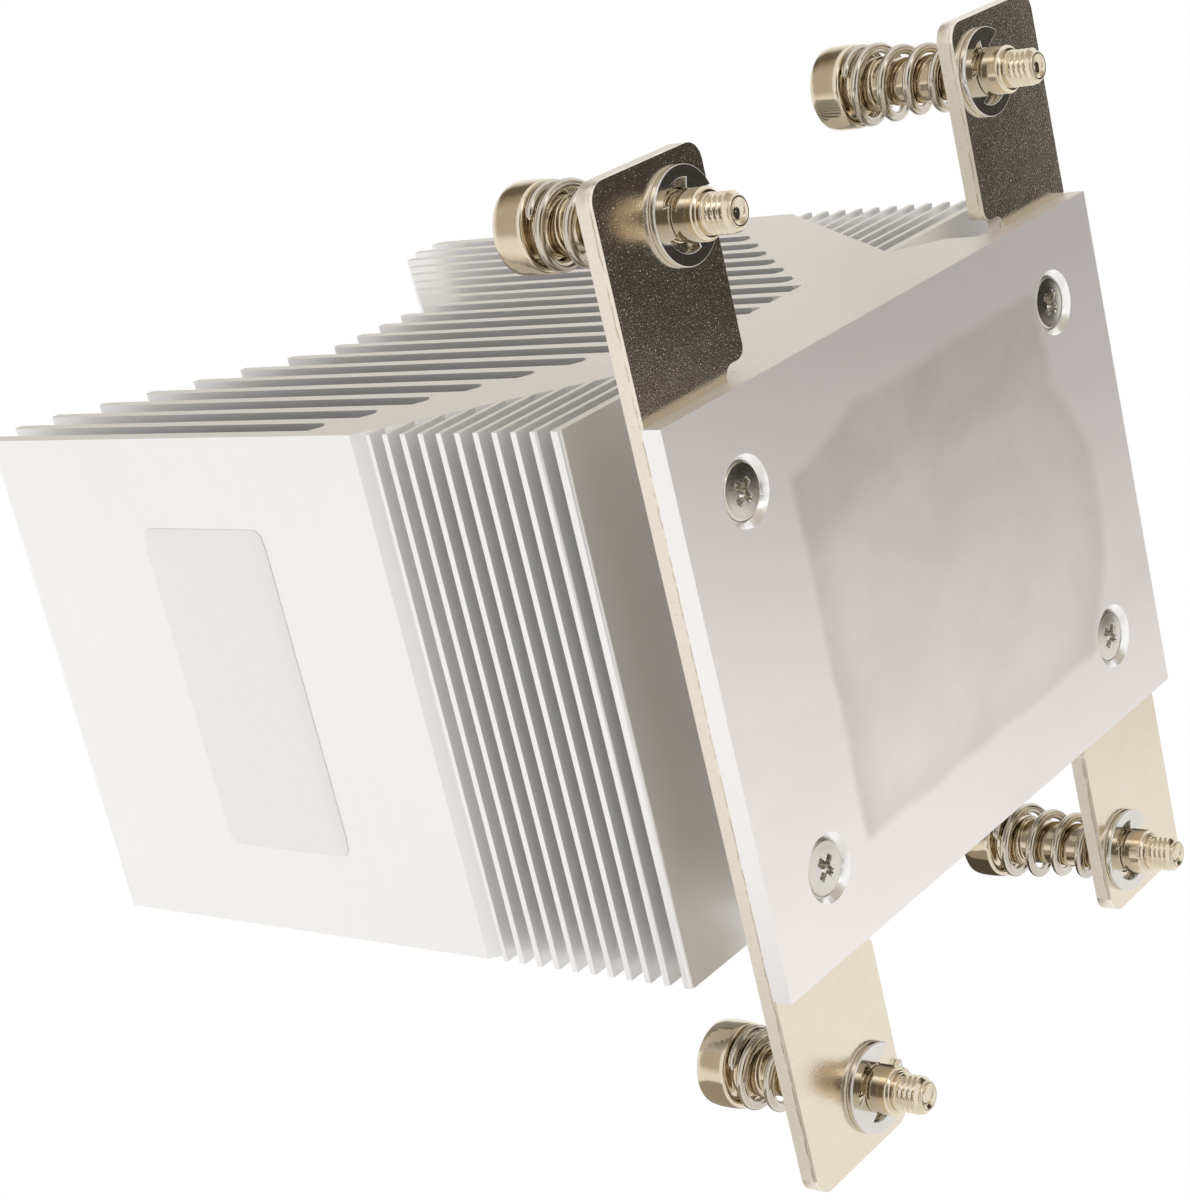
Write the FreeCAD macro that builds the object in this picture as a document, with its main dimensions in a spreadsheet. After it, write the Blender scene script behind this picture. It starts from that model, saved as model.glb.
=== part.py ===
import FreeCAD, Part
import math
import os
import re
import Sketcher

# Extruded aluminium heatsink for a processor. Two steel strips are screwed to its base flange, and
# four sprung captive screws in the strips' ends pull it down on its socket.
# Origin: the centre of the contact face. X runs across the fins, Y along the extrusion, and Z from
# the contact face to the fins' tips. Millimetres.

SIZES = {
    # Extrusion, whole
    "width": 78.0,
    "length": 57.6,
    "height": 96.0,
    "flange": 2.2,
    # Extrusion, upright fins over the two arms of the V
    "panel": 1.6,
    "fins_side": 9,
    "fins_low": 2,
    "fin_root": 1.5,
    "fin_tip": 1.1,
    "tip_round": 0.4,
    "foot_round": 0.9,
    "tip_floor": 70.75,
    "tip_rise": 3.87,
    "panel_round": 1.3,
    # Extrusion, the V's inner and outer surfaces
    "floor_level": 15.7,
    "inner_rise": 9.0,
    "arm_foot": 17.9,
    "arm_base": 11.95,
    "panel_foot": 38.9,
    # Extrusion, thin fins at both sides
    "side_count": 10,
    "side_fin": 0.7,
    "side_round": 0.3,
    "side_pitch": 2.375,
    "side_top": 36.85,
    "side_low": 1.1,
    # Extrusion, the trunk between the flange and the V
    "trunk_half": 22.2,
    "trunk_top": 7.5,
    "flare_half": 25.3,
    "flare_top": 3.6,
    # Strips on the flange, with a tab past each end of the extrusion
    "strip": 1.9,
    "strip_inset": 0.4,
    "strip_inner": 25.5,
    "tab_inner": 22.2,
    "tab_reach": 22.2,
    "tab_start": 30.2,
    "tab_corner": 2.0,
    "shoulder_round": 1.2,
    # Captive screws, on the socket's hole pattern
    "hole_spacing_x": 54.0,
    "hole_spacing_y": 90.0,
    "shank_r": 2.5,
    "shank_clearance": 0.08,
    "shank_tip": 1.2,
    "shank_bevel": 0.3,
    "groove_r": 2.0,
    "groove_clearance": 0.05,
    "thread_r": 1.95,
    "thread_reach": 4.45,
    "point_r": 1.45,
    "head_r": 4.55,
    "head_rise": 3.7,
    "head_round": 0.6,
    "collar_r": 2.9,
    "collar": 3.0,
    "spring_space": 13.5,
    "recess_width": 1.1,
    "recess_span": 5.0,
    "recess_depth": 2.0,
    # Springs
    "wire_r": 0.55,
    "coil_r": 3.2,
    "coil_spread": 0.65,
    "coil_turns": 5.0,
    "spring_play": 0.05,
    # Retaining rings under the tabs
    "ring_r": 4.65,
    "ring_thick": 0.7,
    "ring_band": 1.25,
    "ring_mouth": 3.4,
    "ring_play": 0.05,
    "prong_half": 1.5,
    "prong_angle": 72,
    # Flat-head screws that hold the strips
    "screw_spacing_x": 58.0,
    "screw_spacing_y": 38.6,
    "screw_r": 1.5,
    "screw_head_r": 2.8,
    "screw_hole_r": 1.6,
    "sink_r": 3.5,
    "screw_depth": 0.45,
    "seat_clearance": 0.02,
    "screw_end": 0.3,
    "cross_width": 0.75,
    "cross_span": 2.8,
    "cross_depth": 1.1,
    # Plain paper label on one side panel
    "label_length": 37.4,
    "label_height": 18.6,
    "label_level": 64.7,
    "label_thick": 0.1,
}

# Sizes that follow from others
DERIVED = {
    "fin_pitch": "(width - panel) / 2 / (fins_side + 1)",
    "arm_slope": "(panel_foot - arm_base) / (width / 2 - arm_foot)",
    "arm_edge": "floor_level - inner_rise",
    "side_clear": "side_pitch - side_fin",
    "side_floor": "side_top - (side_count - 1) * side_pitch - side_fin",
    "strip_top": "flange + strip",
    "strip_outer": "width / 2 - strip_inset",
    "tab_end": "length / 2 + tab_reach",
    "head_base": "strip_top + spring_space",
    "coil_height": "spring_space - 2 * wire_r - spring_play",
    "ring_base": "flange - ring_thick",
    "hole_r": "shank_r + shank_clearance",
    "sink_depth": "sink_r - screw_hole_r",
    "rim": "sink_r - screw_head_r - screw_depth - seat_clearance",
}

EPSILON = 1e-6


def bound(expression):
    """Put the sheet's references in the place of the sizes' names in an expression."""
    def reference(match):
        name = match.group()
        if name in DERIVED:
            return "(" + bound(DERIVED[name]) + ")"
        return "sizes." + name if name in SIZES else name
    return re.sub(r"[a-z_]+", reference, expression)


def value(expression):
    """The number that an expression on the sizes gives now."""
    result = sheet.evalExpression(bound(expression))
    return float(getattr(result, "Value", result))


def bind(feature, **expressions):
    """Tie properties of a feature to expressions on the sizes."""
    for path, expression in expressions.items():
        feature.setExpression(path.replace("__", "."), bound(expression))


def new_body(name):
    body = doc.addObject("PartDesign::Body", name)
    body.Label = name
    return body


def origin_feature(body, role):
    return next(f for f in body.Origin.OriginFeatures if f.Role == role)


def new_sketch(body, name, plane, level="0"):
    """An empty sketch on one of the body's own planes, or parallel to it at a level."""
    sketch = body.newObject("Sketcher::SketchObject", name)
    sketch.AttachmentSupport = [(origin_feature(body, plane), "")]
    sketch.MapMode = "FlatFace"
    if level != "0":
        sketch.setExpression("AttachmentOffset.Base.z", bound(level))
    return sketch


def arc_through(start, end, radius):
    """The short arc between two points, bulging to the right of the way for a positive radius."""
    chord = end - start
    middle = (start + end) / 2
    left = FreeCAD.Vector(-chord.y, chord.x, 0).normalize()
    depth = math.sqrt(max(radius * radius - chord.Length ** 2 / 4, 0))
    centre = middle + left * math.copysign(depth, radius)
    circle = Part.Circle(centre, FreeCAD.Vector(0, 0, 1), abs(radius))
    first, last = (start, end) if radius > 0 else (end, start)
    angles = [math.atan2(p.y - centre.y, p.x - centre.x) for p in (first, last)]
    if angles[1] < angles[0]:
        angles[1] += 2 * math.pi
    return Part.ArcOfCircle(circle, *angles)


def hold(sketch, geometry, point, x, y):
    """Keep a sketch point at two expressions, measured from the sketch's origin."""
    for kind, axis, expression in (("DistanceX", -2, x), ("DistanceY", -1, y)):
        number = value(expression)
        if abs(number) < EPSILON:
            sketch.addConstraint(Sketcher.Constraint("PointOnObject", geometry, point, axis))
            continue
        index = sketch.addConstraint(Sketcher.Constraint(kind, -1, 1, geometry, point, number))
        sketch.setExpression(f"Constraints[{index}]", bound(expression))


def outline(sketch, corners):
    """Draw a closed outline. A corner is (x, y), or (x, y, radius) where an arc leads to it: the arc
    bulges to the right of its way, or to the left where the radius starts with a minus sign."""
    spots = [FreeCAD.Vector(value(c[0]), value(c[1]), 0) for c in corners]
    last = len(corners) - 1
    for i, corner in enumerate(corners):
        start, end = spots[i - 1], spots[i]
        if len(corner) == 3:
            sketch.addGeometry(arc_through(start, end, value(corner[2])))
            index = sketch.addConstraint(Sketcher.Constraint("Radius", i, abs(value(corner[2]))))
            sketch.setExpression(f"Constraints[{index}]", bound(corner[2].lstrip("-")))
        else:
            sketch.addGeometry(Part.LineSegment(start, end))

    def ends(i):
        turned = len(corners[i]) == 3 and corners[i][2].startswith("-")
        return (2, 1) if turned else (1, 2)

    for i in range(len(corners)):
        after = 0 if i == last else i + 1
        sketch.addConstraint(Sketcher.Constraint("Coincident", i, ends(i)[1], after, ends(after)[0]))
        hold(sketch, i, ends(i)[1], *corners[i][:2])


def circle(sketch, x, y, radius):
    """Draw a circle whose centre and radius follow the sizes."""
    centre = FreeCAD.Vector(value(x), value(y), 0)
    index = sketch.addGeometry(Part.Circle(centre, FreeCAD.Vector(0, 0, 1), value(radius)))
    number = sketch.addConstraint(Sketcher.Constraint("Radius", index, value(radius)))
    sketch.setExpression(f"Constraints[{number}]", bound(radius))
    hold(sketch, index, 3, x, y)


def pad(body, name, sketch, length, both_ways=False):
    feature = body.newObject("PartDesign::Pad", name)
    feature.Profile = sketch
    feature.SideType = "Symmetric" if both_ways else "One side"
    bind(feature, Length=length)
    return feature


def pocket(body, name, sketch, depth, both_ways=False):
    """Cut a sketch against its normal, or to both sides of it."""
    feature = body.newObject("PartDesign::Pocket", name)
    feature.Profile = sketch
    feature.SideType = "Symmetric" if both_ways else "One side"
    bind(feature, Length=depth)
    return feature


def row(body, name, feature, direction, step, count):
    """Repeat a feature along a direction, at a step and a count that follow the sizes."""
    pattern = body.newObject("PartDesign::LinearPattern", name)
    pattern.Originals = [feature]
    pattern.Direction = direction
    pattern.Mode = "Spacing"
    bind(pattern, Offset=step, Occurrences=count)
    body.Tip = pattern
    return pattern


def mirror(body, name, plane, cut=None):
    """Mirror one cut, or the whole body made so far."""
    doc.recompute()
    feature = body.newObject("PartDesign::Mirrored", name)
    if cut:
        feature.Originals = [cut]
    else:
        feature.TransformMode = "Whole shape"
    feature.MirrorPlane = (origin_feature(body, plane), [""])
    body.Tip = feature
    return feature


def slant(sketch, x, y):
    """A construction line from the sketch's origin, as the direction of a slanted row."""
    line = Part.LineSegment(FreeCAD.Vector(), FreeCAD.Vector(value(x), value(y), 0))
    index = sketch.addGeometry(line, True)
    sketch.addConstraint(Sketcher.Constraint("Coincident", index, 1, -1, 1))
    hold(sketch, index, 2, x, y)
    return (sketch, ["Axis0"])


def upright_fin(body, name, centre, foot, tip):
    """One tapered fin with rounded tip corners, from inside the V's arm up to its tip."""
    sketch = new_sketch(body, name + "_section", "XZ_Plane")
    outline(sketch, [
        (f"{centre} - fin_root / 2", foot),
        (f"{centre} + fin_root / 2", foot),
        (f"{centre} + fin_tip / 2", f"{tip} - tip_round"),
        (f"{centre} + fin_tip / 2 - tip_round", tip, "tip_round"),
        (f"{centre} - fin_tip / 2 + tip_round", tip),
        (f"{centre} - fin_tip / 2", f"{tip} - tip_round", "tip_round"),
    ])
    return pad(body, name, sketch, "length", both_ways=True), sketch


def heatsink_extrusion():
    """Half of the section is drawn and mirrored: flange, trunk, V arm and side panel in one outline,
    then the upright fins, which climb with the arm, and the cuts that leave the thin side fins."""
    body = new_body("heatsink_extrusion")
    section = new_sketch(body, "half_section", "XZ_Plane")
    outline(section, [
        ("0", "0"),
        ("width / 2", "0"),
        ("width / 2", "flange"),
        ("flare_half", "flange"),
        ("trunk_half", "flare_top"),
        ("trunk_half", "trunk_top"),
        ("arm_foot", "arm_base"),
        ("width / 2 - side_low / 2", "arm_base"),
        ("width / 2", "arm_base + side_low / 2", "side_low / 2"),
        ("width / 2", "side_top - side_round"),
        ("width / 2 - side_round", "side_top", "side_round"),
        ("width / 2 - (panel_foot - side_top) / arm_slope", "side_top"),
        ("width / 2", "panel_foot"),
        ("width / 2", "height - panel_round"),
        ("width / 2 - panel_round", "height", "panel_round"),
        ("width / 2 - panel", "height"),
        ("width / 2 - panel", "width / 2 - panel + inner_rise"),
        ("arm_edge", "floor_level"),
        ("0", "floor_level"),
    ])
    pad(body, "half_body", section, "length", both_ways=True)

    gap = new_sketch(body, "side_gap_section", "XZ_Plane")
    low = "side_floor - side_clear"
    reach = "width / 2 + width"
    foot = f"arm_foot + ({low} - arm_base) / arm_slope"
    outline(gap, [
        (foot, low),
        ("width / 2 - side_round", low),
        ("width / 2", f"{low} - side_round", "-side_round"),
        (reach, f"{low} - side_round"),
        (reach, "side_floor + side_round"),
        ("width / 2", "side_floor + side_round"),
        ("width / 2 - side_round", "side_floor", "-side_round"),
        (f"{foot} + side_clear / arm_slope", "side_floor"),
    ])
    climb = slant(gap, "side_pitch / arm_slope", "side_pitch")
    cut = pocket(body, "side_gap", gap, "length", both_ways=True)
    row(body, "side_gaps", cut, climb, "side_pitch * sqrt(1 + 1 / arm_slope ^ 2)", "side_count")

    # The fins' feet stand inside the arm, below its inner surface, and those of the row stand deeper
    # where the row climbs at another slope than the arm
    bury = "2 * fin_root"
    row_bury = f"{bury} + (fins_side - fins_low) * abs(tip_rise - fin_pitch)"
    centre_fin, _ = upright_fin(body, "centre_fin", "0", f"floor_level - {bury}", "tip_floor")
    x_axis = (origin_feature(body, "X_Axis"), [""])
    row(body, "low_fins", centre_fin, x_axis, "fin_pitch", "fins_low")
    first = "fins_low * fin_pitch"
    arm_foot = f"{first} + inner_rise - ({row_bury})"
    arm_fin, sketch = upright_fin(body, "arm_fin", first, arm_foot, "tip_floor")
    climb = slant(sketch, "fin_pitch", "tip_rise")
    row(body, "arm_fins", arm_fin, climb, "sqrt(fin_pitch ^ 2 + tip_rise ^ 2)", "fins_side - fins_low")

    # A fillet at the foot of each arm fin, tangent to the first fin's outer face and to the arm
    feet = new_sketch(body, "fin_foot_section", "XZ_Plane")
    taper = f"(fin_root - fin_tip) / 2 * ({row_bury}) / (tip_floor - tip_round - ({arm_foot}))"
    wall = f"({first} + fin_root / 2 - {taper})"
    corner = f"({wall} + inner_rise)"
    outline(feet, [
        (f"{wall} - fin_root / 2", f"{corner} - fin_root"),
        (f"{wall} + foot_round * (1 + sqrt(0.5))", f"{corner} - fin_root"),
        (f"{wall} + foot_round * (1 + sqrt(0.5))", f"{corner} + foot_round * (1 + sqrt(0.5))"),
        (wall, f"{corner} + foot_round * (1 + sqrt(2))", "-foot_round"),
        (f"{wall} - fin_root / 2", f"{corner} + foot_round * (1 + sqrt(2))"),
    ])
    fillet = pad(body, "fin_foot", feet, "length", both_ways=True)
    climb = slant(feet, "fin_pitch", "fin_pitch")
    row(body, "fin_feet", fillet, climb, "fin_pitch * sqrt(2)", "fins_side - fins_low + 1")

    last = "fins_side * fin_pitch"
    upright_fin(body, "last_fin", last, f"{last} + inner_rise - {bury}", "height")
    for end, sign in (("front", "-"), ("back", "")):
        sink = body.newObject("PartDesign::SubtractiveCone", f"{end}_countersink")
        bind(sink, Radius1="sink_r", Radius2="screw_hole_r", Height="sink_depth")
        spot(sink, "screw_spacing_x / 2", sign + "screw_spacing_y / 2")
        hole = body.newObject("PartDesign::SubtractiveCylinder", f"{end}_hole")
        bind(hole, Radius="screw_hole_r", Height="flange")
        spot(hole, "screw_spacing_x / 2", sign + "screw_spacing_y / 2")
    mirror(body, "both_halves", "YZ_Plane")
    return body


def spot(body, x, y, z="0"):
    """Put a body at a place that follows the sizes."""
    bind(body, Placement__Base__x=x, Placement__Base__y=y, Placement__Base__z=z)


def turn(body, degrees):
    """Turn a body about its own upright axis."""
    body.Placement = FreeCAD.Placement(FreeCAD.Vector(), FreeCAD.Rotation(FreeCAD.Vector(0, 0, 1), degrees))


def revolve(body, name, corners):
    """Turn a half section, drawn in the body's XZ plane, about the body's Z axis."""
    sketch = new_sketch(body, name + "_section", "XZ_Plane")
    outline(sketch, corners)
    feature = body.newObject("PartDesign::Revolution", name)
    feature.Profile = sketch
    feature.ReferenceAxis = (sketch, ["V_Axis"])
    return feature


def cross_recess(body, level, width, span, depth, from_below=False):
    """A cross-shaped driver recess, cut into a face at a level."""
    sketch = new_sketch(body, "recess_section", "XY_Plane", level)
    w, s = f"{width} / 2", f"{span} / 2"
    outline(sketch, [
        (w, s), (f"-{w}", s), (f"-{w}", w), (f"-{s}", w),
        (f"-{s}", f"-{w}"), (f"-{w}", f"-{w}"), (f"-{w}", f"-{s}"), (w, f"-{s}"),
        (w, f"-{w}"), (s, f"-{w}"), (s, w), (w, w),
    ])
    cut = pocket(body, "recess", sketch, depth)
    cut.Reversed = from_below


def steel_strip(name, degrees):
    """A flat strip along one edge of the flange. Its ends widen inwards to tabs with a hole each for
    a captive screw, and two tapped holes take the flat-head screws."""
    body = new_body(name)
    turn(body, degrees)
    sketch = new_sketch(body, "strip_section", "XY_Plane", "flange")
    outline(sketch, [
        ("strip_outer", "tab_corner - tab_end", "tab_corner"),
        ("strip_outer", "tab_end - tab_corner"),
        ("strip_outer - tab_corner", "tab_end", "tab_corner"),
        ("tab_inner + tab_corner", "tab_end"),
        ("tab_inner", "tab_end - tab_corner", "tab_corner"),
        ("tab_inner", "tab_start + shoulder_round"),
        ("tab_inner + shoulder_round", "tab_start", "shoulder_round"),
        ("strip_inner - shoulder_round", "tab_start"),
        ("strip_inner", "tab_start - shoulder_round", "-shoulder_round"),
        ("strip_inner", "shoulder_round - tab_start"),
        ("strip_inner - shoulder_round", "-tab_start", "-shoulder_round"),
        ("tab_inner + shoulder_round", "-tab_start"),
        ("tab_inner", "-tab_start - shoulder_round", "shoulder_round"),
        ("tab_inner", "tab_corner - tab_end"),
        ("tab_inner + tab_corner", "-tab_end", "tab_corner"),
        ("strip_outer - tab_corner", "-tab_end"),
    ])
    pad(body, "plate", sketch, "strip")
    holes = new_sketch(body, "hole_centres", "XY_Plane", "flange")
    for end in ("", "-"):
        circle(holes, "hole_spacing_x / 2", end + "hole_spacing_y / 2", "hole_r")
        circle(holes, "screw_spacing_x / 2", end + "screw_spacing_y / 2", "screw_r + seat_clearance")
    cut = pocket(body, "holes", holes, "strip")
    cut.Reversed = True
    return body


def flat_head_screw(name, x_sign, y_sign, degrees):
    """A countersunk screw, from its recessed head up to the strip's upper face."""
    body = new_body(name)
    turn(body, degrees)
    spot(body, x_sign + "screw_spacing_x / 2", y_sign + "screw_spacing_y / 2")
    revolve(body, "turned_screw", [
        ("0", "screw_depth"),
        ("screw_head_r", "screw_depth"),
        ("screw_head_r", "screw_depth + rim"),
        ("screw_r", "screw_depth + rim + screw_head_r - screw_r"),
        ("screw_r", "strip_top - screw_end"),
        ("screw_r - screw_end", "strip_top"),
        ("0", "strip_top"),
    ])
    cross_recess(body, "screw_depth", "cross_width", "cross_span", "cross_depth", from_below=True)
    return body


def captive_screw(name, x_sign, y_sign):
    """A stepped screw: round head over the spring, collar, shank through the tab with the ring's
    groove just below it, and a thinner thread with a bevelled point."""
    body = new_body(name)
    spot(body, x_sign + "hole_spacing_x / 2", y_sign + "hole_spacing_y / 2")
    revolve(body, "turned_screw", [
        ("0", "-thread_reach"),
        ("point_r", "-thread_reach"),
        ("thread_r", "thread_r - point_r - thread_reach"),
        ("thread_r", "-shank_tip"),
        ("shank_r - shank_bevel", "-shank_tip"),
        ("shank_r", "shank_bevel - shank_tip"),
        ("shank_r", "ring_base - ring_play"),
        ("groove_r", "ring_base - ring_play"),
        ("groove_r", "flange + ring_play"),
        ("shank_r", "flange + ring_play"),
        ("shank_r", "head_base - collar"),
        ("collar_r", "head_base - collar"),
        ("collar_r", "head_base"),
        ("head_r", "head_base"),
        ("head_r", "head_base + head_rise - head_round"),
        ("head_r - head_round", "head_base + head_rise", "head_round"),
        ("0", "head_base + head_rise"),
    ])
    cross_recess(body, "head_base + head_rise", "recess_width", "recess_span", "recess_depth")
    return body


def spring(name, x_sign, y_sign):
    """A coil spring round the screw's shank, wider at the head, where it takes in the collar."""
    body = new_body(name)
    spot(body, x_sign + "hole_spacing_x / 2", y_sign + "hole_spacing_y / 2")
    wire = new_sketch(body, "wire_section", "XZ_Plane")
    circle(wire, "coil_r", "strip_top + wire_r", "wire_r")
    coil = body.newObject("PartDesign::AdditiveHelix", "coil")
    coil.Profile = wire
    coil.ReferenceAxis = (wire, ["V_Axis"])
    coil.Mode = "height-turns-angle"
    coil.LeftHanded = True
    bind(coil, Height="coil_height", Turns="coil_turns", Angle="atan(coil_spread / coil_height)")
    return body


def polar(radius, degrees):
    """A point at an angle from the ring's mouth."""
    return f"{radius} * cos({degrees} * 1 deg)", f"{radius} * sin({degrees} * 1 deg)"


def retaining_ring(name, x_sign, y_sign, degrees):
    """A flat ring open at its mouth, with three prongs that reach into the screw's groove."""
    body = new_body(name)
    turn(body, degrees)
    spot(body, x_sign + "hole_spacing_x / 2", y_sign + "hole_spacing_y / 2", "ring_base")
    disc = new_sketch(body, "disc_section", "XY_Plane")
    circle(disc, "0", "0", "ring_r")
    pad(body, "disc", disc, "ring_thick")
    bore = new_sketch(body, "bore_section", "XY_Plane")
    circle(bore, "0", "0", "groove_r + groove_clearance")
    pocket(body, "bore", bore, "ring_thick").Reversed = True
    mouth = new_sketch(body, "mouth_section", "XY_Plane")
    outline(mouth, [
        ("0", "-ring_mouth / 2"),
        ("2 * ring_r", "-ring_mouth / 2"),
        ("2 * ring_r", "ring_mouth / 2"),
        ("0", "ring_mouth / 2"),
    ])
    pocket(body, "mouth", mouth, "ring_thick").Reversed = True
    window = new_sketch(body, "window_section", "XY_Plane")
    band = "(ring_r - ring_band)"
    outline(window, [
        (*polar("groove_r / 2", "prong_angle"),),
        (*polar(band, "prong_angle"),),
        (f"-sqrt({band} ^ 2 - prong_half ^ 2)", "prong_half", band),
        ("-groove_r / 2", "prong_half"),
    ])
    cut = pocket(body, "window", window, "ring_thick")
    cut.Reversed = True
    mirror(body, "both_windows", "XZ_Plane", cut)
    return body


def plain_label():
    """A bare paper rectangle on the near side panel."""
    label = doc.addObject("Part::Box", "label")
    label.Label = "label"
    bind(label, Length="label_thick", Width="label_length", Height="label_height")
    spot(label, "-width / 2 - label_thick", "-label_length / 2", "label_level - label_height / 2")
    return label


# Ends of the object: front and back along Y, left and right along X. Each row has the signs of its
# place, the turn of the flat-head screw's recess and the turn of the retaining ring's mouth.
CORNERS = {
    "front_left": ("-", "-", 20, 0),
    "front_right": ("", "-", 65, -30),
    "back_left": ("-", "", 10, -30),
    "back_right": ("", "", 40, 0),
}


def build():
    parts = [heatsink_extrusion(), steel_strip("bracket_left", 180), steel_strip("bracket_right", 0)]
    for name, (x_sign, y_sign, recess, mouth) in CORNERS.items():
        parts.append(flat_head_screw(f"base_screw_{name}", x_sign, y_sign, recess))
        parts.append(captive_screw(f"captive_screw_{name}", x_sign, y_sign))
        parts.append(spring(f"spring_{name}", x_sign, y_sign))
        parts.append(retaining_ring(f"retaining_ring_{name}", x_sign, y_sign, mouth))
    parts.append(plain_label())
    return parts


def check(shapes):
    """Stop at any feature that failed, and at any shape that is empty or broken."""
    for item in doc.Objects:
        if "Invalid" in item.State or "Error" in item.State:
            raise RuntimeError(f"{item.Label} is {item.State}: {item.getStatusString()}")
    for item in shapes:
        if item.Shape.isNull() or not item.Shape.isValid():
            raise RuntimeError(f"{item.Label} has no sound shape")


doc = FreeCAD.newDocument("heatsink")
sheet = doc.addObject("Spreadsheet::Sheet", "sizes")
for line, (size_name, number) in enumerate(SIZES.items(), start=1):
    sheet.set(f"A{line}", size_name)
    sheet.set(f"B{line}", str(number))
    sheet.setAlias(f"B{line}", size_name)
doc.recompute()
subparts = build()
doc.recompute()
check(subparts)
os.makedirs("parts", exist_ok=True)
for item in subparts:
    item.Shape.exportStep(f"parts/{item.Label}.step")
    print(item.Label, len(item.Shape.Solids), round(item.Shape.Volume, 2), item.Shape.BoundBox)
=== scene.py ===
import bpy
import numpy as np
from mathutils import Matrix, Vector


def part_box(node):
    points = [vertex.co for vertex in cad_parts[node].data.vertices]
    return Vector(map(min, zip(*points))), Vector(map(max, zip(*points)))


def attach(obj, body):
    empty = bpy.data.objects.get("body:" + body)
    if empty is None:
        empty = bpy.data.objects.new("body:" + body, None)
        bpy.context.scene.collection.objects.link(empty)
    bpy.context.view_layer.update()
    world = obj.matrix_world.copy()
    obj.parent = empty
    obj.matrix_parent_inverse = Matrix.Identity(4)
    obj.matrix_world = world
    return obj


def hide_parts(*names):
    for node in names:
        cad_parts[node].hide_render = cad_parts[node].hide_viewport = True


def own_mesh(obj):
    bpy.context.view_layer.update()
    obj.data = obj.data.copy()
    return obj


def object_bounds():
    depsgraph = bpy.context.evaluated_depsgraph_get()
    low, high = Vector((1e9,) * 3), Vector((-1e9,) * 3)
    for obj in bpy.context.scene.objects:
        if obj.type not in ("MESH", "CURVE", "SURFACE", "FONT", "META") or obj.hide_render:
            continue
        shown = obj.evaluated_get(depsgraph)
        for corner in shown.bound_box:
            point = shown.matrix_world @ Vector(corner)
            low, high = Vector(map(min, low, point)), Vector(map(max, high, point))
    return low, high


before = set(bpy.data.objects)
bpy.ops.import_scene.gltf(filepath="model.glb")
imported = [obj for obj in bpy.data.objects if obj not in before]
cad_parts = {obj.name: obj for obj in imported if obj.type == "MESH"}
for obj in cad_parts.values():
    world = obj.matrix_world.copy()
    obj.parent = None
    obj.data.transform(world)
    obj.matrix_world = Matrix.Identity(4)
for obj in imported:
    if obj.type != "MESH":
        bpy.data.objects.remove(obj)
cad_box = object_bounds()

# Lengths in this file are in millimetres, and a mesh gets them in metres.
MM = 0.001
CORNERS = ("front_left", "front_right", "back_left", "back_right")

# Levels of the extrusion, which its finish and its painted shade follow: the flange's thickness, the side
# panels' inner faces with a hair to spare, and the height over which only upright fins have faces along X
FLANGE = 2.2
PANEL_INNER = 37.45
TRUNK_TOP = 17


# Camera, fitted to the photograph

EYE = (-216.37, -89.05, -150.54)
RIGHT = (0.6051, 0.2234, -0.7641)
UP = (0.3762, -0.9261, 0.0271)
FORWARD = (0.7016, 0.3039, 0.6445)
LENS = 81.51


def place_camera():
    """The camera looks up at the contact face, as the photographer's did."""
    data = bpy.data.cameras.new("camera")
    data.lens = LENS
    data.sensor_width = 36
    data.clip_start = 0.01
    camera = bpy.data.objects.new("camera", data)
    axes = Matrix((RIGHT, UP, -Vector(FORWARD))).transposed()
    camera.matrix_world = Matrix.Translation(Vector(EYE) * MM) @ axes.to_4x4()
    bpy.context.scene.collection.objects.link(camera)
    bpy.context.scene.camera = camera


# Shader values and finishes

class Value:
    """A number or vector in a shader. Sums, products and comparisons of it make Math nodes."""

    def __init__(self, finish, socket):
        self.finish = finish
        self.socket = socket

    def math(self, operation, *others):
        return self.finish.node("Math", [self, *others], operation=operation)

    def __add__(self, other):
        return self.math("ADD", other)

    def __sub__(self, other):
        return self.math("SUBTRACT", other)

    def __rsub__(self, other):
        return self.finish.node("Math", [other, self], operation="SUBTRACT")

    def __mul__(self, other):
        return self.math("MULTIPLY", other)

    def __truediv__(self, other):
        return self.math("DIVIDE", other)

    def __pow__(self, other):
        return self.math("POWER", other)

    def __abs__(self):
        return self.math("ABSOLUTE")

    def __gt__(self, other):
        return self.math("GREATER_THAN", other)

    def __lt__(self, other):
        return self.math("LESS_THAN", other)

    __radd__ = __add__

    def at_least(self, other):
        return self.math("MAXIMUM", other)

    def between(self, low, high):
        """0 below low, 1 above high, and a smooth step between them. High may be the lower one."""
        return self.finish.node("MapRange", {"Value": self, "From Min": low, "From Max": high},
                                interpolation_type="SMOOTHSTEP", output="Result")


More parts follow.
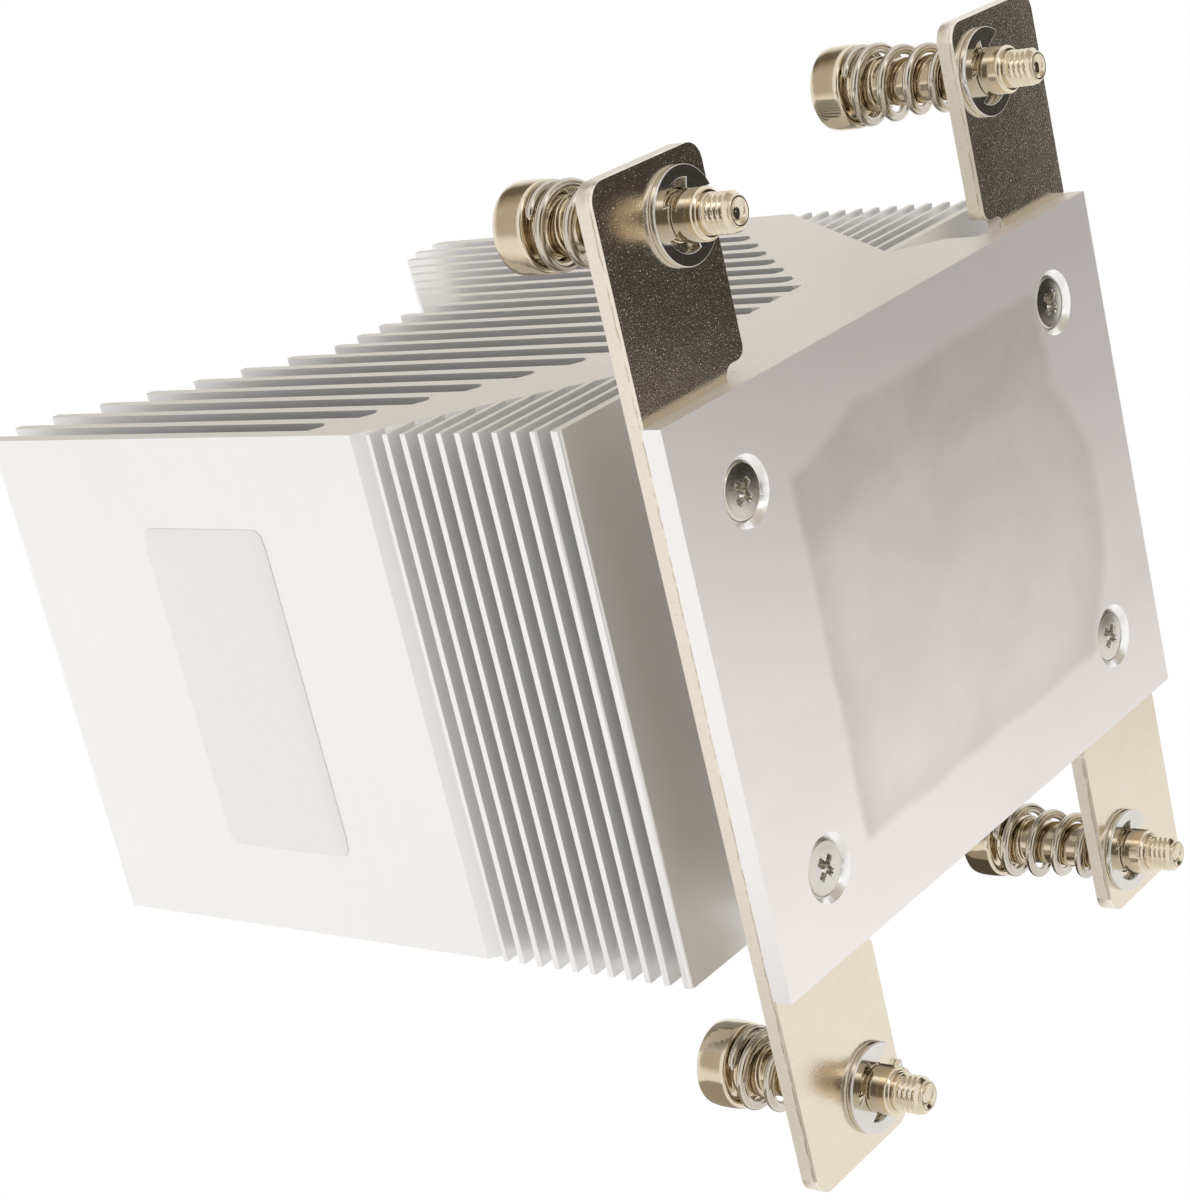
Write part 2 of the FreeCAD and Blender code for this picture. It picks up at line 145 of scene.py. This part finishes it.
class Finish:
    """A material in the making: one metal or paper shader, and the nodes that vary it."""

    def __init__(self, name):
        self.material = bpy.data.materials.new(name)
        self.material.use_nodes = True
        self.tree = self.material.node_tree
        self.shader = self.tree.nodes["Principled BSDF"]
        place = self.node("TexCoord", {}, output="Object")
        self.place = self.node("VectorMath", [place, (1 / MM,) * 3], operation="MULTIPLY")
        self.x, self.y, self.z = self.parts(self.place)
        self.normal = self.parts(self.node("NewGeometry", {}, output="Normal"))

    def node(self, kind, inputs, output=0, **settings):
        """Make one node, set or link its inputs by name or number, and give back one output."""
        made = self.tree.nodes.new("ShaderNode" + kind)
        for name, setting in settings.items():
            setattr(made, name, setting)
        for key, given in inputs.items() if isinstance(inputs, dict) else enumerate(inputs):
            self.give(made.inputs[key], given)
        return Value(self, made.outputs[output])

    def give(self, socket, given):
        if isinstance(given, Value):
            self.tree.links.new(given.socket, socket)
        elif socket.type == "RGBA" and len(given) == 3:
            socket.default_value = (*given, 1)
        else:
            socket.default_value = given

    def parts(self, vector):
        split = self.tree.nodes.new("ShaderNodeSeparateXYZ")
        self.tree.links.new(vector.socket, split.inputs[0])
        return [Value(self, s) for s in split.outputs]

    def noise(self, grains, detail=3, roughness=0.55):
        """Noise from 0 to 1 with that many grains per millimetre, or one number for each axis."""
        stretch = (grains,) * 3 if isinstance(grains, (int, float)) else grains
        where = self.node("VectorMath", [self.place, stretch], operation="MULTIPLY")
        return self.node("TexNoise", {"Vector": where, "Scale": 1, "Detail": detail, "Roughness": roughness})

    def blend(self, share, first, second):
        """The first colour where share is 0, the second where it is 1."""
        made = self.tree.nodes.new("ShaderNodeMix")
        made.data_type = "RGBA"
        for index, given in ((0, share), (6, first), (7, second)):
            self.give(made.inputs[index], given)
        return Value(self, made.outputs[2])

    def ramp(self, share, stops):
        """A colour that follows stops of (place from 0 to 1, colour)."""
        made = self.tree.nodes.new("ShaderNodeValToRGB")
        elements = made.color_ramp.elements
        while len(elements) < len(stops):
            elements.new(0.5)
        for element, (place, colour) in zip(elements, stops):
            element.position = place
            element.color = (*colour, 1)
        self.give(made.inputs[0], share)
        return Value(self, made.outputs[0])

    def bump(self, height, depth):
        """A normal from a height of 0 to 1, with its depth in millimetres."""
        return self.node("Bump", {"Height": height, "Distance": depth * MM, "Strength": 1})

    def finished(self, **inputs):
        for name, given in inputs.items():
            self.give(self.shader.inputs[name.replace("_", " ")], given)
        return self.material


def aluminium():
    """Extruded aluminium: die lines along the fins, sawn ends, turned countersinks and a milled
    contact face, with the grey print that a processor's lid left on it, and painted shade on the upper fins'
    flanks."""
    f = Finish("aluminium")
    nx, ny, nz = f.normal
    sawn = abs(ny).between(0.6, 0.8)
    below = f.z < FLANGE - 0.1
    milled = nz.between(-0.9, -0.97) * below
    sunk = nz.between(-0.4, -0.5) * nz.between(-0.95, -0.85) * below
    cloud = f.noise(0.06, 4)
    die_lines = f.noise((5, 0.03, 5), 3)
    saw_lines = f.noise((0.25, 1, 7), 3)
    mill_lines = f.noise((0.12, 6, 1), 2)
    grain = f.noise(9, 2)
    # The print: four edges, the first corner cut off and the right edge bulging, softened by noise
    wander = (f.noise(0.12, 2) - 0.5) * 1.6
    left = f.x + 22.3 + wander
    top = f.y + 21.8 - f.x.between(-8, -23) * 3.4 + wander
    bulge = 1 - ((f.y - 3) / 15) ** 2
    right = 25.5 + bulge.at_least(0) * 5.5 - f.x + wander * 2
    low = 19.8 - f.y + wander
    print_mark = left.between(-0.5, 0.9) * top.between(-0.5, 1.2)
    print_mark = print_mark * right.between(-1.5, 1.5) * low.between(-0.5, 0.9)
    rim = (left.between(6, 0) * 0.55).at_least(low.between(5, 0) * 0.35).at_least(right.between(9, 0) * 0.5)
    rim = rim.at_least(top.between(12, 6)) * (0.55 + f.noise(0.1, 3) * 0.9)
    mottle = f.noise(0.09, 5, 0.6).between(0.3, 0.7)
    stain = milled * print_mark * (0.10 + mottle * 0.12 + rim * 0.34)
    smear = milled * f.noise((0.03, 0.05, 1), 3).between(0.45, 0.75) * 0.10
    tone = (die_lines - 0.5) * 0.4 + (cloud - 0.5) * 0.3 + 0.5
    bare = f.blend(tone, (0.875, 0.87, 0.86), (0.945, 0.94, 0.935))
    # Painted shade: the upper fins' flanks are darkened towards their feet, deep between the fins
    fin_foot_painted_shade = abs(nx).between(0.85, 0.95) * (abs(f.x) < PANEL_INNER) * f.z.between(95, 50) * (f.z > TRUNK_TOP)
    bare = f.blend(fin_foot_painted_shade, bare, (0.66, 0.65, 0.64))
    ends = f.blend(saw_lines * 0.6 + grain * 0.4, (0.72, 0.675, 0.61), (0.87, 0.83, 0.775))
    face = f.blend(mill_lines * 0.5 + grain * 0.5, (0.90, 0.85, 0.82), (0.98, 0.935, 0.915))
    colour = f.blend(milled, f.blend(sawn, bare, ends), face)
    colour = f.blend(stain + smear, colour, (0.48, 0.41, 0.385))
    roughness = 0.36 + sawn * 0.12 - sunk * 0.16 + (grain - 0.5) * 0.08 + stain * 0.12
    lines = f.blend(milled, f.blend(sawn, die_lines, saw_lines), mill_lines)
    height = lines * 0.7 + grain * 0.3
    metal = 0.6 + milled * 0.27 + sunk * 0.4
    return f.finished(Base_Color=colour, Metallic=metal, Roughness=roughness, Normal=f.bump(height, 0.012))


def nickel(name, low, high, roughness, depth, peel=3.0, specks=0.0, edge=None):
    """Plated steel: a fine orange peel, faint clouds and bright specks. Where a strip was punched, its
    edge has a smooth band and a torn band with a ragged brown line between them."""
    f = Finish(name)
    cloud = f.noise(0.35, 4)
    skin = f.noise(peel, 3, 0.6)
    speck = f.noise(5.5, 2, 0.5).between(0.58, 0.76)
    colour = f.blend(cloud * 0.7 + skin * 0.3, low, high)
    rough = roughness + (skin - 0.5) * 0.12 + (cloud - 0.5) * 0.06 + speck * specks
    height = skin + speck * specks * 3
    if edge:
        cut = abs(f.normal[2]).between(0.8, 0.5)
        level = f.z + (f.noise((0.5, 0.5, 0.3), 4) - 0.5) * 0.5
        broken = f.noise((0.7, 0.7, 1), 3).between(0.35, 0.6)
        line = level.between(2.5, 2.6) * level.between(2.8, 2.65) * broken
        torn = level.between(2.6, 2.9)
        grit = f.noise((5, 5, 1.6), 3, 0.65)
        punched = f.blend(line * 0.65 + torn * grit.between(0.55, 0.8) * 0.35, edge, (0.42, 0.34, 0.24))
        colour = f.blend(cut, colour, punched)
        rough = rough + cut * (0.16 + torn * 0.14)
        height = height * (1 - cut) + (grit * (0.3 + torn)) * cut * 2.4
    return f.finished(Base_Color=colour, Metallic=1.0, Roughness=rough, Normal=f.bump(height, depth))


def paper():
    """Bare white paper with a little tooth."""
    f = Finish("paper_label")
    fibre = f.noise(5, 4)
    colour = f.blend(fibre, (0.80, 0.775, 0.755), (0.87, 0.85, 0.835))
    return f.finished(Base_Color=colour, Roughness=0.55 + fibre * 0.2, Normal=f.bump(fibre, 0.01))


# Surfaces

def closed_surface(name, first_pole, rows, last_pole, material):
    """Quads between the points of a grid whose columns close on themselves, and a fan of triangles
    at each pole. Rows run from the first pole to the last, and columns turn anticlockwise about
    that way, so that the faces point outwards."""
    count, around = rows.shape[:2]
    spots = np.concatenate([np.array([first_pole], float), rows.reshape(-1, 3), np.array([last_pole], float)])
    index = 1 + np.arange(count * around).reshape(count, around)
    beside = np.roll(index, -1, axis=1)
    quads = np.stack([index[:-1], beside[:-1], beside[1:], index[1:]], axis=-1).reshape(-1, 4)
    first_fan = np.stack([np.zeros(around, int), beside[0], index[0]], axis=-1)
    last_fan = np.stack([np.full(around, len(spots) - 1), index[-1], beside[-1]], axis=-1)
    mesh = bpy.data.meshes.new(name)
    mesh.from_pydata((spots * MM).tolist(), [], quads.tolist() + first_fan.tolist() + last_fan.tolist())
    mesh.polygons.foreach_set("use_smooth", np.ones(len(mesh.polygons), bool))
    mesh.set_sharp_from_angle(angle=np.radians(38))
    mesh.materials.append(material)
    piece = bpy.data.objects.new(name, mesh)
    bpy.context.scene.collection.objects.link(piece)
    return piece


def rounded(corners, radius, steps=4):
    """A line through corners, each one turned by a Bezier arc: it leaves the way in and joins the
    way out at the radius from the corner, or at a third of the shorter side."""
    p = np.array(corners, float)
    sides = np.diff(p, axis=0)
    lengths = np.linalg.norm(sides, axis=1)
    ways = sides / lengths[:, None]
    reach = np.minimum(radius, np.minimum(lengths[:-1], lengths[1:]) / 3)[:, None]
    inner = p[1:-1]
    start, end = inner - ways[:-1] * reach, inner + ways[1:] * reach
    t = np.linspace(0, 1, steps)[None, :, None]
    arcs = start[:, None] * (1 - t) ** 2 + inner[:, None] * 2 * t * (1 - t) + end[:, None] * t ** 2
    return np.concatenate([p[:1], arcs.reshape(-1, 2), p[-1:]])


def densify(line, step):
    """Points at even steps along a line of (radius, height)."""
    away = np.concatenate([[0], np.cumsum(np.linalg.norm(np.diff(line, axis=0), axis=1))])
    marks = np.union1d(away, np.arange(0, away[-1], step))
    return np.stack([np.interp(marks, away, line[:, 0]), np.interp(marks, away, line[:, 1])], axis=1)


def turned(line, around):
    """A half section of (radius, height) turned about the Z axis: radii, heights and angles as grids."""
    angle = np.linspace(0, 2 * np.pi, around, endpoint=False)[None, :]
    radius = line[:, :1] + 0 * angle
    height = line[:, 1:] + 0 * angle
    return radius, height, angle + 0 * radius


def solid_of(radius, height, angle):
    """Points from polar grids."""
    return np.stack([radius * np.cos(angle), radius * np.sin(angle), height], axis=-1)


def cross(x, y, width, span, taper):
    """How deep a driver's cross recess is at a point, from 0 to 1: each slot falls from its rim to
    its floor over the taper, and so does a round well in the middle, a little wider than a slot."""
    def slot(u, v):
        inside = np.minimum(width / 2 - abs(u), (span / 2 - abs(v)) * 0.7)
        return np.clip(inside / taper, 0, 1)
    well = np.clip((width * 0.72 - np.hypot(x, y)) / taper, 0, 1)
    return np.maximum(np.maximum(slot(x, y), slot(y, x)), well)


def smooth(t):
    """The smooth step 3t^2 - 2t^3."""
    t = np.clip(t, 0, 1)
    return t * t * (3 - 2 * t)


def moved(grid, x, y, turn=0.0):
    """A grid of points turned about Z and put at a place."""
    c, s = np.cos(np.radians(turn)), np.sin(np.radians(turn))
    return grid @ np.array([[c, s, 0], [-s, c, 0], [0, 0, 1]]) + np.array([x, y, 0])


# The captive screw's radii and levels, in the CAD part's sizes
SHANK, THREAD, GROOVE, HEAD, COLLAR = 2.5, 1.95, 2.0, 4.55, 2.9
THREAD_END, SHANK_END, HEAD_BASE, HEAD_TOP, COLLAR_BASE = -4.45, -1.2, 17.6, 21.3, 14.6
GROOVE_LOW, GROOVE_HIGH = 1.45, 2.25
PITCH, THREAD_DEPTH = 0.6, 0.34
POINT_HOLLOW = 0.45
RECESS_WIDTH, RECESS_SPAN, RECESS_TAPER, RECESS_DEPTH, RECESS_RIM = 1.1, 5.0, 0.22, 1.9, 3.6

# The spring's wire and coil radii, how far it widens, its ends' levels, its turns and where it starts
WIRE, COIL, SPREAD = 0.55, 3.2, 0.65
SPRING_LOW, SPRING_HIGH, TURNS, START = 4.1, 17.55, 4.85, 150

# The flat-head screw: its dome's level and rise, its length, and the cross in its head
FLAT_LEVEL, FLAT_RISE, FLAT_EDGE, FLAT_END = 0.36, 0.09, 2.2, 4.1
CROSS_WIDTH, CROSS_SPAN, CROSS_TAPER, CROSS_DEPTH, CROSS_WELL = 0.85, 2.8, 0.11, 0.75, 0.9

AROUND = 96


def axis_of(node):
    """Centre of a CAD node across X and Y, in millimetres."""
    low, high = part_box(node)
    return (low.x + high.x) / 2 / MM, (low.y + high.y) / 2 / MM


def turned_screw(corner, material):
    """The captive screw. Its radius over the thread is the crest less a triangle wave of the height
    minus the pitch times the turn. Its top is lowered by a driver's cross."""
    lower = densify(rounded([
        (0.001, THREAD_END + POINT_HOLLOW), (0.8, THREAD_END + 0.4), (1.22, THREAD_END), (1.42, THREAD_END),
        (THREAD, THREAD_END + 0.55), (THREAD, SHANK_END)], 0.12), 0.05)
    upper = densify(rounded([
        (THREAD, SHANK_END), (SHANK - 0.3, SHANK_END), (SHANK, SHANK_END + 0.3), (SHANK, GROOVE_LOW),
        (GROOVE, GROOVE_LOW), (GROOVE, GROOVE_HIGH), (SHANK, GROOVE_HIGH), (SHANK, COLLAR_BASE),
        (COLLAR, COLLAR_BASE), (COLLAR, HEAD_BASE), (HEAD - 0.1, HEAD_BASE), (HEAD, HEAD_BASE + 1.2),
        (HEAD, HEAD_TOP - 1), (HEAD - 0.15, HEAD_TOP), (0.001, HEAD_TOP)], 0.55), 0.35)
    top = np.stack([np.linspace(RECESS_RIM, 0.04, 60), np.full(60, HEAD_TOP)], axis=1)
    outside = (upper[:, 1] < HEAD_TOP - 1e-6) | (upper[:, 0] > RECESS_RIM)
    upper = np.concatenate([upper[outside], top])
    radius, height, angle = turned(np.concatenate([lower[1:], upper[1:]]), AROUND)
    phase = (height / PITCH - angle / (2 * np.pi)) % 1
    valley = THREAD_DEPTH * (1 - np.abs(phase * 2 - 1)) ** 0.8
    start, stop = (height - THREAD_END) / 0.4, (SHANK_END - 0.25 - height) / 0.3
    threaded = height < SHANK_END
    cut = smooth(start) * smooth(stop) * threaded
    radius = np.where(threaded, np.minimum(radius, THREAD), radius) - valley * cut
    spots = solid_of(radius, height, angle)
    on_top = height > HEAD_TOP - 1e-6
    deep = smooth(cross(spots[..., 0], spots[..., 1], RECESS_WIDTH, RECESS_SPAN, RECESS_TAPER))
    spots[..., 2] -= on_top * deep * RECESS_DEPTH
    x, y = axis_of("captive_screw_" + corner)
    point, floor = (x, y, THREAD_END + POINT_HOLLOW), (x, y, HEAD_TOP - RECESS_DEPTH)
    piece = closed_surface("turned_screw_" + corner, point, moved(spots, x, y), floor, material)
    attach(piece, "screw_" + corner)
    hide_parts("captive_screw_" + corner)
    return piece


def coil_spring(corner, material):
    """A wire round a left-handed helix. The climb is flat over the first and last half turn, where
    the coils close, and the radius widens towards the head."""
    steps = 420
    t = np.linspace(0, 1, steps)
    turn = np.radians(START) - 2 * np.pi * TURNS * t
    rise = np.cumsum(smooth(t * TURNS / 0.7) * smooth(((1 - t) * TURNS - 0.35) / 0.5) + 0.05)
    rise = (rise - rise[0]) / (rise[-1] - rise[0])
    height = SPRING_LOW + WIRE + rise * (SPRING_HIGH - SPRING_LOW - 2 * WIRE)
    reach = COIL + SPREAD * smooth((t - 0.42) / 0.38)
    line = np.stack([reach * np.cos(turn), reach * np.sin(turn), height], axis=1)
    way = np.gradient(line, axis=0)
    way /= np.linalg.norm(way, axis=1)[:, None]
    out = np.stack([np.cos(turn), np.sin(turn), 0 * turn], axis=1)
    side = np.cross(way, out)
    side /= np.linalg.norm(side, axis=1)[:, None]
    out = np.cross(side, way)
    phi = np.linspace(0, 2 * np.pi, 16, endpoint=False)
    end = np.minimum(t, 1 - t) * steps / 4
    thick = WIRE * np.sqrt(np.clip(1 - (1 - np.clip(end, 0, 1)) ** 2, 0.02, 1))
    spots = line[:, None] + thick[:, None, None] * (
        np.cos(phi)[None, :, None] * out[:, None] + np.sin(phi)[None, :, None] * side[:, None])
    x, y = axis_of("captive_screw_" + corner)
    place = np.array([x, y, 0])
    piece = closed_surface("coil_" + corner, line[0] + place, spots + place, line[-1] + place, material)
    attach(piece, "base")
    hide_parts("spring_" + corner)
    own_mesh(piece)
    return piece


def flat_head(corner, material, turn):
    """A countersunk screw, head down: a disc lowered by a driver's cross, a cone and a shank."""
    edge_level = FLAT_LEVEL + FLAT_RISE
    dome = np.linspace(0.04, FLAT_EDGE, 44)
    disc = np.stack([dome, FLAT_LEVEL + FLAT_RISE * (dome / FLAT_EDGE) ** 2], axis=1)
    rest = densify(rounded([
        (FLAT_EDGE, edge_level), (2.68, 0.48), (2.8, 0.58), (2.8, 0.7), (1.5, 1.95), (1.5, FLAT_END - 0.3),
        (1.2, FLAT_END), (0.001, FLAT_END)], 0.12), 0.3)
    radius, height, angle = turned(np.concatenate([disc, rest[1:-1]]), AROUND)
    spots = solid_of(radius, height, angle)
    deep = smooth(cross(spots[..., 0], spots[..., 1], CROSS_WIDTH, CROSS_SPAN, CROSS_TAPER))
    # The cross gets deeper towards the middle
    floor = CROSS_DEPTH + CROSS_WELL * smooth(1.25 - radius)
    spots[..., 2] += (height < edge_level + 0.01) * deep * floor
    x, y = axis_of("base_screw_" + corner)
    bottom, end = (x, y, FLAT_LEVEL + CROSS_DEPTH + CROSS_WELL), (x, y, FLAT_END)
    piece = closed_surface("flat_screw_" + corner, bottom, moved(spots, x, y, turn), end, material)
    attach(piece, "base")
    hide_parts("base_screw_" + corner)
    return piece


def label_sheet(material):
    """A thin sheet on the side panel: rings of one rounded rectangle, |y/a|^n + |z/b|^n = 1, from
    the back's middle over the rim to the front's middle."""
    low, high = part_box("label")
    mid = (Vector(low) + Vector(high)) / 2 / MM
    half_y, half_z = (high.y - low.y) / 2 / MM, (high.z - low.z) / 2 / MM
    back, front = high.x / MM, low.x / MM
    angle = np.linspace(0, 2 * np.pi, 160, endpoint=False)
    c, s = np.cos(angle), np.sin(angle)
    power = 24
    reach = (abs(c / half_y) ** power + abs(s / half_z) ** power) ** (-1 / power)
    scale = np.array([0.3, 0.7, 0.995, 1.0, 1.0, 0.997, 0.7, 0.3])
    depth = np.array([back, back, back, back - 0.02, front + 0.02, front, front, front])
    spots = np.stack([
        depth[:, None] + 0 * angle[None, :],
        mid.y - scale[:, None] * (reach * c)[None, :],
        mid.z + scale[:, None] * (reach * s)[None, :]], axis=-1)
    piece = closed_surface("label_sheet", (back, mid.y, mid.z), spots, (front, mid.y, mid.z), material)
    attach(piece, "base")
    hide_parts("label")
    return piece


def eased(node, width, material):
    """A CAD node with its material and its sharp edges eased by a narrow bevel."""
    node.data.materials.clear()
    node.data.materials.append(material)
    weld = node.modifiers.new("weld", "WELD")
    weld.merge_threshold = 1e-6
    flat = node.modifiers.new("flat", "DECIMATE")
    flat.decimate_type = "DISSOLVE"
    flat.angle_limit = np.radians(1)
    bevel = node.modifiers.new("bevel", "BEVEL")
    bevel.width = width * MM
    bevel.segments = 2
    bevel.limit_method = "ANGLE"
    bevel.angle_limit = np.radians(40)
    bevel.harden_normals = True
    return node


# Studio

def lamp(name, place, size, strength):
    """A soft square lamp, in metres, that faces the object. Strength is its brightness as seen."""
    data = bpy.data.lights.new(name, "AREA")
    data.size = size
    data.energy = strength * np.pi * size * size
    lamp_object = bpy.data.objects.new(name, data)
    aim = Vector((0, 0, 0.045)) - Vector(place)
    lamp_object.location = place
    lamp_object.rotation_euler = aim.to_track_quat("-Z", "Y").to_euler()
    lamp_object.visible_camera = False
    lamp_object.visible_glossy = False
    bpy.context.scene.collection.objects.link(lamp_object)


def stage_material(name, build):
    """A material with its own output, for what isn't part of the object."""
    finish = Finish(name)
    finish.tree.nodes.remove(finish.shader)
    shader = build(finish)
    finish.tree.links.new(shader.socket, finish.tree.nodes["Material Output"].inputs["Surface"])
    return finish.material


def plane(name, centre, normal, size, material):
    """A flat square or oblong, in metres, that faces along a direction."""
    axes = Vector(normal).to_track_quat("Z", "Y").to_matrix()
    half_x, half_y = size[0] / 2, size[1] / 2
    spots = [Vector(centre) + axes @ Vector((x, y, 0)) for x, y in (
        (-half_x, -half_y), (half_x, -half_y), (half_x, half_y), (-half_x, half_y))]
    mesh = bpy.data.meshes.new(name)
    mesh.from_pydata(spots, [], [(0, 1, 2, 3)])
    mesh.materials.append(material)
    made = bpy.data.objects.new(name, mesh)
    bpy.context.scene.collection.objects.link(made)
    return made


def floor_shader(finish):
    """Pale from above and clear from below, because the photograph looks up at the object. Only the
    camera meets the floor, so it takes no light from the object's underside."""
    back = finish.node("NewGeometry", {}, output="Backfacing")
    camera = finish.node("LightPath", {}, output="Is Camera Ray")
    clear = finish.node("BsdfTransparent", {})
    pale = finish.node("BsdfDiffuse", {"Color": (0.86, 0.86, 0.86)})
    return finish.node("MixShader", [camera * (1 - back), clear, pale])


def reflected_only(made):
    """Keep a piece of the stage out of every ray but reflections."""
    made.visible_camera = False
    made.visible_diffuse = False
    made.visible_shadow = False
    made.visible_transmission = False


def wall(name, low, high, tones):
    """A zone of a sphere, 0.65 m round the object, that only reflections see. Its tone follows stops
    of (azimuth, tone), and its upper and lower edges fade out."""
    start = tones[0][0]
    azimuth = np.radians(np.linspace(0, 360, 97))[None, :]
    elevation = np.radians(np.linspace(low, high, 9))[:, None]
    reach = 0.65
    # The sphere's zone: (cos e cos a, cos e sin a, sin e), its seam at the first stop's azimuth
    spots = np.stack([np.cos(elevation) * np.cos(azimuth - np.pi), np.cos(elevation) * np.sin(azimuth - np.pi),
                      np.sin(elevation) + 0 * azimuth], axis=-1) * reach
    index = np.arange(spots.shape[0] * spots.shape[1]).reshape(spots.shape[:2])
    quads = np.stack([index[:-1, :-1], index[1:, :-1], index[1:, 1:], index[:-1, 1:]], axis=-1).reshape(-1, 4)

    def build(finish):
        turn = finish.y.math("ARCTAN2", finish.x) / (2 * np.pi) + 0.5
        tone = finish.ramp(turn, [((a - start) / 360, colour) for a, colour in tones])
        height = finish.z / (reach / MM)
        bottom, top = np.sin(np.radians((low, high)))
        soft = height.between(bottom, bottom + 0.12) * height.between(top, top - 0.12)
        lit = finish.node("Emission", {"Color": tone, "Strength": 1})
        return finish.node("MixShader", [soft, finish.node("BsdfTransparent", {}), lit])

    mesh = bpy.data.meshes.new(name)
    mesh.from_pydata(spots.reshape(-1, 3).tolist(), [], quads.tolist())
    mesh.materials.append(stage_material(name, build))
    made = bpy.data.objects.new(name, mesh)
    made.rotation_euler.z = np.radians(start + 180)
    bpy.context.scene.collection.objects.link(made)
    reflected_only(made)


def card(name, centre, normal, size, tone):
    """A plain dark card near the object, in metres, that only reflections see: painted shade in the
    reflections.
    """

    def build(finish):
        return finish.node("Emission", {"Color": tone, "Strength": 1})

    reflected_only(plane(name, centre, normal, size, stage_material(name, build)))


# What the reflections see low and high round the object, from one azimuth round to it again
LOW_WALL = (
    (110, (0.85, 0.83, 0.80)), (150, (0.75, 0.71, 0.65)), (165, (0.55, 0.51, 0.45)), (172, (0.17, 0.14, 0.11)),
    (222, (0.12, 0.10, 0.08)), (233, (0.45, 0.42, 0.36)), (243, (1.0, 0.99, 0.97)), (249, (1.7, 1.7, 1.7)),
    (258, (1.7, 1.7, 1.7)), (266, (0.65, 0.60, 0.52)), (300, (0.56, 0.51, 0.43)), (335, (0.50, 0.45, 0.38)),
    (347, (0.07, 0.06, 0.05)), (375.5, (0.035, 0.03, 0.026)), (380.5, (0.30, 0.28, 0.26)),
    (387, (0.94, 0.92, 0.90)), (394, (1.0, 1.0, 1.0)), (470, (0.85, 0.83, 0.80)))
HIGH_WALL = (
    (110, (0.70, 0.64, 0.57)), (128, (0.78, 0.73, 0.67)), (145, (0.97, 0.95, 0.93)), (174, (0.94, 0.90, 0.86)),
    (190, (0.54, 0.49, 0.41)), (245, (0.55, 0.50, 0.41)), (263, (0.38, 0.33, 0.26)), (281, (0.15, 0.12, 0.09)),
    (303, (0.18, 0.15, 0.11)), (318, (0.75, 0.72, 0.68)), (332, (1.0, 0.99, 0.98)), (440, (1.0, 0.99, 0.98)),
    (470, (0.70, 0.64, 0.57)))


def light_studio():
    """White all round, dimmer as plain light than as a reflection, three lamps, and walls and cards
    that only reflections see."""
    world = bpy.data.worlds.new("studio")
    bpy.context.scene.world = world
    world.use_nodes = True
    tree = world.node_tree
    background = tree.nodes["Background"]
    background.inputs["Color"].default_value = (1, 1, 1, 1)
    path = tree.nodes.new("ShaderNodeLightPath")
    seen = path.outputs["Is Camera Ray"]
    for ray in ("Is Glossy Ray", "Is Transmission Ray"):
        either = tree.nodes.new("ShaderNodeMath")
        either.operation = "MAXIMUM"
        tree.links.new(seen, either.inputs[0])
        tree.links.new(path.outputs[ray], either.inputs[1])
        seen = either.outputs[0]
    strength = tree.nodes.new("ShaderNodeMapRange")
    strength.inputs["To Min"].default_value = 0.75
    strength.inputs["To Max"].default_value = 1.0
    tree.links.new(seen, strength.inputs["Value"])
    tree.links.new(strength.outputs["Result"], background.inputs["Strength"])
    lamp("near_lamp", (-0.7, 0.1, 0.25), 0.5, 1.4)
    lamp("top_lamp", (-0.1, -0.3, 0.8), 0.5, 1.5)
    lamp("low_lamp", (-0.1, 0.6, -0.5), 0.4, 1.2)
    wall("low_wall", -62, -20, LOW_WALL)
    wall("high_wall", 20, 62, HIGH_WALL)
    # Painted shade: two dark cards behind the object, seen only in reflections, darken the back screws' heads
    # and springs
    card("right_shade_card", (0.035, 0.078, 0.056), (0, -1, 0), (0.09, 0.056), (0.09, 0.075, 0.06))
    card("left_shade_card", (-0.065, 0.078, 0.056), (0, -1, 0), (0.11, 0.056), (0.38, 0.33, 0.27))
    floor_material = stage_material("floor", floor_shader)
    floor = plane("floor", (0, 0, cad_box[0].z), (0, 0, 1), (6, 6), floor_material)
    floor.visible_shadow = False


# Making

# How far each flat-head screw's cross is turned, in degrees
RECESS_TURNS = {"front_left": 50, "front_right": 47, "back_left": 49, "back_right": 42}


def dress():
    """Give every CAD node its finish, and put the finer pieces in the place of the plain ones."""
    strip_metal = nickel("nickel_steel", (0.76, 0.665, 0.53), (0.85, 0.775, 0.66), 0.15, 0.012, peel=4.5,
                         specks=0.13, edge=(0.90, 0.85, 0.755))
    screw_metal = nickel("screw_nickel", (0.66, 0.56, 0.41), (0.86, 0.78, 0.63), 0.12, 0.004)
    # Painted shade: the spring's nickel is darker than the screw's to paint the shade on its coils
    spring_metal_painted_shade = nickel("spring_nickel", (0.42, 0.37, 0.30), (0.78, 0.72, 0.63), 0.12, 0.004)
    bright_metal = nickel("bright_nickel", (0.64, 0.62, 0.59), (0.80, 0.775, 0.74), 0.14, 0.005)
    dark_metal = nickel("dark_nickel", (0.60, 0.575, 0.52), (0.78, 0.75, 0.69), 0.15, 0.005, specks=0.06)
    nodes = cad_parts
    eased(nodes["heatsink_extrusion"], 0.1, aluminium())
    eased(nodes["bracket_left"], 0.16, strip_metal)
    eased(nodes["bracket_right"], 0.16, strip_metal)
    for corner in CORNERS:
        eased(nodes["retaining_ring_" + corner], 0.1, bright_metal)
        turned_screw(corner, screw_metal)
        coil_spring(corner, spring_metal_painted_shade)
        flat_head(corner, dark_metal, RECESS_TURNS[corner])
    label_sheet(paper())


place_camera()
dress()
light_studio()
bpy.context.scene.view_settings.view_transform = "Standard"
